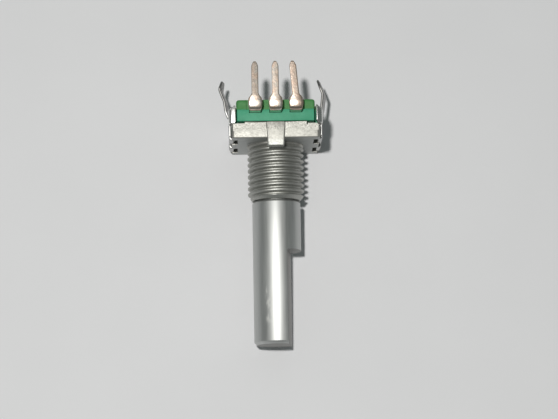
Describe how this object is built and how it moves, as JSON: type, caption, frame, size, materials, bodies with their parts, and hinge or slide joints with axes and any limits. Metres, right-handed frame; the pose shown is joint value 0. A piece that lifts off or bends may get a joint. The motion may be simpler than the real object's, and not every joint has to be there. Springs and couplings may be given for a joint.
{
  "type": "rotary encoder",
  "caption": "Panel-mount rotary encoder with a long D shaft, threaded die-cast bushing, steel bracket and a row of solder pins.",
  "frame": {"origin": "where the shaft's axis meets the mounting face of the body, the plane that lies against the panel", "axes": "-Y along the shaft towards its tip, +Z towards the side that the terminals leave, +X to the right seen from above with the shaft towards the viewer"},
  "size_m": [0.0136, 0.0343, 0.0139],
  "materials": {
    "die_cast_zinc": "matt as-cast zinc alloy, fine grain, smoother and darker on the mounting face and thread",
    "bracket_steel": "bright tin-plated sheet steel with sheared edges",
    "green_moulding": "green thermoset moulding, slightly glossy, faint flow marks",
    "shaft_metal": "turned metal shaft, satin, fine turning marks",
    "spring_steel": "rolled spring steel, semi-bright",
    "rotor_moulding": "black acetal moulding, matt",
    "contact_bronze": "phosphor bronze, rolled, semi-bright",
    "tinned_terminal": "thinly tinned copper alloy, pinkish where the tin is thin, bright on the bends"
  },
  "bodies": {
    "housing": {"bushing_housing": "die_cast_zinc", "mounting_bracket": "bracket_steel", "terminal_wafer": "green_moulding", "thrust_washer": "spring_steel", "click_spring": "spring_steel", "terminal_a": "tinned_terminal", "terminal_c": "tinned_terminal", "terminal_b": "tinned_terminal", "brush_a": "contact_bronze", "brush_c": "contact_bronze", "brush_b": "contact_bronze"},
    "spindle": {"shaft": "shaft_metal", "retaining_ring": "spring_steel", "detent_rotor": "rotor_moulding", "code_plate": "contact_bronze"}
  },
  "joints": [
    {"name": "shaft_turn", "type": "hinge", "parent": "housing", "child": "spindle", "pos_m": [0, 0, 0], "axis": [0, -1, 0], "continuous": true}
  ]
}
